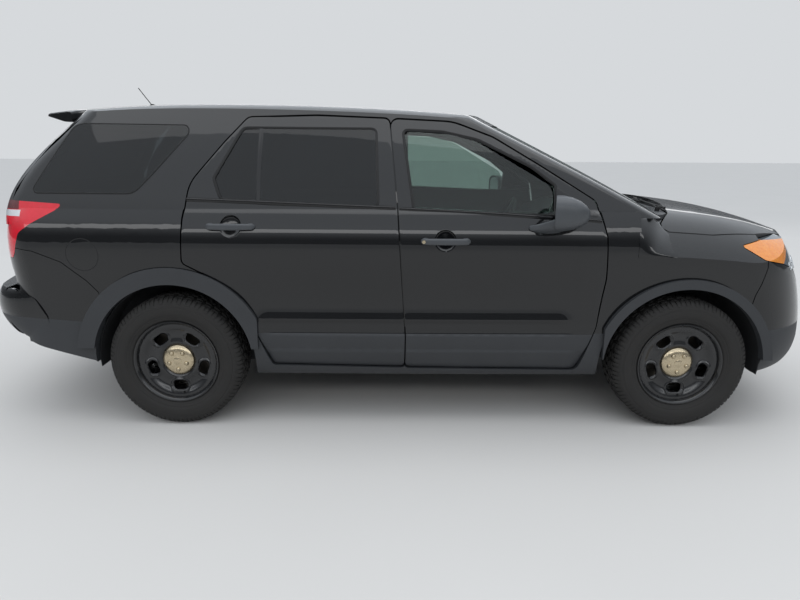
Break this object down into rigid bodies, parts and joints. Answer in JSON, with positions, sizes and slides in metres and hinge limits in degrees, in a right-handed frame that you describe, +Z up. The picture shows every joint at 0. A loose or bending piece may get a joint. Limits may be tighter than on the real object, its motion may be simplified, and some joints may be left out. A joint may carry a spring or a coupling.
{
  "type": "police sport utility vehicle",
  "caption": "Black five-door police sport utility vehicle with steel wheels, opening doors, hood and tailgate, steering front wheels and a hollow cabin.",
  "frame": {"origin": "on the ground under the middle of the outline", "axes": "+X to the vehicle's front, +Y to its left, +Z up"},
  "size_m": [5.007, 2.366, 1.9373],
  "materials": {
    "underbody_paint": "matte",
    "gloss_black_paint": "gloss",
    "black_moulded_plastic": "matte",
    "lamp_clear": "gloss",
    "lamp_red": "gloss",
    "clear_glass": "gloss",
    "dark_glass": "gloss",
    "interior_plastic": "matte",
    "engine_alloy": "satin",
    "seat_cloth": "matte",
    "bare_steel": "matte",
    "exhaust_steel": "satin",
    "tyre_rubber": "matte",
    "black_steel_wheel": "gloss"
  },
  "bodies": {
    "body": {"floor_pan": "underbody_paint", "body_side_right": "gloss_black_paint", "body_side_left": "gloss_black_paint", "roof_panel": "gloss_black_paint", "fenders": "gloss_black_paint", "cowl": "black_moulded_plastic", "front_bumper": "gloss_black_paint", "rear_bumper": "gloss_black_paint", "grille": "black_moulded_plastic", "front_lamps": "lamp_clear", "tail_lamps": "lamp_red", "arch_mouldings": "black_moulded_plastic", "windscreen": "clear_glass", "quarter_glasses": "dark_glass", "dashboard": "interior_plastic", "front_structure": "underbody_paint", "engine": "engine_alloy", "front_seats": "seat_cloth", "rear_seat": "seat_cloth", "front_subframe": "bare_steel", "rear_subframe": "bare_steel", "exhaust": "exhaust_steel", "fuel_tank": "black_moulded_plastic", "driveshaft": "bare_steel", "wipers": "black_moulded_plastic", "antenna": "black_moulded_plastic"},
    "hood": {"hood": "gloss_black_paint"},
    "tailgate": {"tailgate": "gloss_black_paint", "tailgate_glass": "dark_glass", "spoiler": "gloss_black_paint"},
    "steering_wheel": {"steering_wheel": "interior_plastic"},
    "door_front_right": {"door_front_right": "gloss_black_paint", "window_front_right": "clear_glass", "handle_front_right": "black_moulded_plastic", "mirror_right": "black_moulded_plastic"},
    "door_rear_right": {"door_rear_right": "gloss_black_paint", "window_rear_right": "dark_glass", "handle_rear_right": "black_moulded_plastic"},
    "knuckle_right": {"knuckle_right": "bare_steel"},
    "wheel_front_right": {"tyre_front_right": "tyre_rubber", "wheel_front_right": "black_steel_wheel"},
    "wheel_rear_right": {"tyre_rear_right": "tyre_rubber", "wheel_rear_right": "black_steel_wheel"},
    "door_front_left": {"door_front_left": "gloss_black_paint", "window_front_left": "clear_glass", "handle_front_left": "black_moulded_plastic", "mirror_left": "black_moulded_plastic"},
    "door_rear_left": {"door_rear_left": "gloss_black_paint", "window_rear_left": "dark_glass", "handle_rear_left": "black_moulded_plastic"},
    "knuckle_left": {"knuckle_left": "bare_steel"},
    "wheel_front_left": {"tyre_front_left": "tyre_rubber", "wheel_front_left": "black_steel_wheel"},
    "wheel_rear_left": {"tyre_rear_left": "tyre_rubber", "wheel_rear_left": "black_steel_wheel"}
  },
  "joints": [
    {"name": "door_front_right_hinge", "type": "hinge", "parent": "body", "child": "door_front_right", "pos_m": [1.045, -0.978, 0.75], "axis": [0, 0, 1], "range_deg": [0, 68]},
    {"name": "door_rear_right_hinge", "type": "hinge", "parent": "body", "child": "door_rear_right", "pos_m": [-0.082, -0.99, 0.75], "axis": [0, 0, 1], "range_deg": [0, 70]},
    {"name": "steer_right", "type": "hinge", "parent": "body", "child": "knuckle_right", "pos_m": [1.561, -0.786, 0.222], "axis": [-0.0557, 0.2481, 0.9671], "range_deg": [-32, 32]},
    {"name": "wheel_front_right_spin", "type": "hinge", "parent": "knuckle_right", "child": "wheel_front_right", "pos_m": [1.553, -0.851, 0.38], "axis": [0, 1, 0], "continuous": true},
    {"name": "wheel_rear_right_spin", "type": "hinge", "parent": "body", "child": "wheel_rear_right", "pos_m": [-1.307, -0.851, 0.38], "axis": [0, 1, 0], "continuous": true},
    {"name": "door_front_left_hinge", "type": "hinge", "parent": "body", "child": "door_front_left", "pos_m": [1.045, 0.978, 0.75], "axis": [0, 0, -1], "range_deg": [0, 68]},
    {"name": "door_rear_left_hinge", "type": "hinge", "parent": "body", "child": "door_rear_left", "pos_m": [-0.082, 0.99, 0.75], "axis": [0, 0, -1], "range_deg": [0, 70]},
    {"name": "steer_left", "type": "hinge", "parent": "body", "child": "knuckle_left", "pos_m": [1.561, 0.786, 0.222], "axis": [-0.0557, -0.2481, 0.9671], "range_deg": [-32, 32]},
    {"name": "wheel_front_left_spin", "type": "hinge", "parent": "knuckle_left", "child": "wheel_front_left", "pos_m": [1.553, 0.851, 0.38], "axis": [0, 1, 0], "continuous": true},
    {"name": "wheel_rear_left_spin", "type": "hinge", "parent": "body", "child": "wheel_rear_left", "pos_m": [-1.307, 0.851, 0.38], "axis": [0, 1, 0], "continuous": true},
    {"name": "hood_hinge", "type": "hinge", "parent": "body", "child": "hood", "pos_m": [1.385, 0, 1.215], "axis": [0, -1, 0], "range_deg": [0, 50]},
    {"name": "tailgate_hinge", "type": "hinge", "parent": "body", "child": "tailgate", "pos_m": [-1.897, 0, 1.788], "axis": [0, 1, 0], "range_deg": [0, 84]},
    {"name": "steering_wheel_turn", "type": "hinge", "parent": "body", "child": "steering_wheel", "pos_m": [0.735, 0.395, 1.023], "axis": [0.9063, 0, -0.4226], "range_deg": [-480, 480]}
  ],
  "couplings": [
    {"joint": "steer_left", "follows": "steer_right", "ratio": 1},
    {"joint": "steering_wheel_turn", "follows": "steer_right", "ratio": -15}
  ]
}
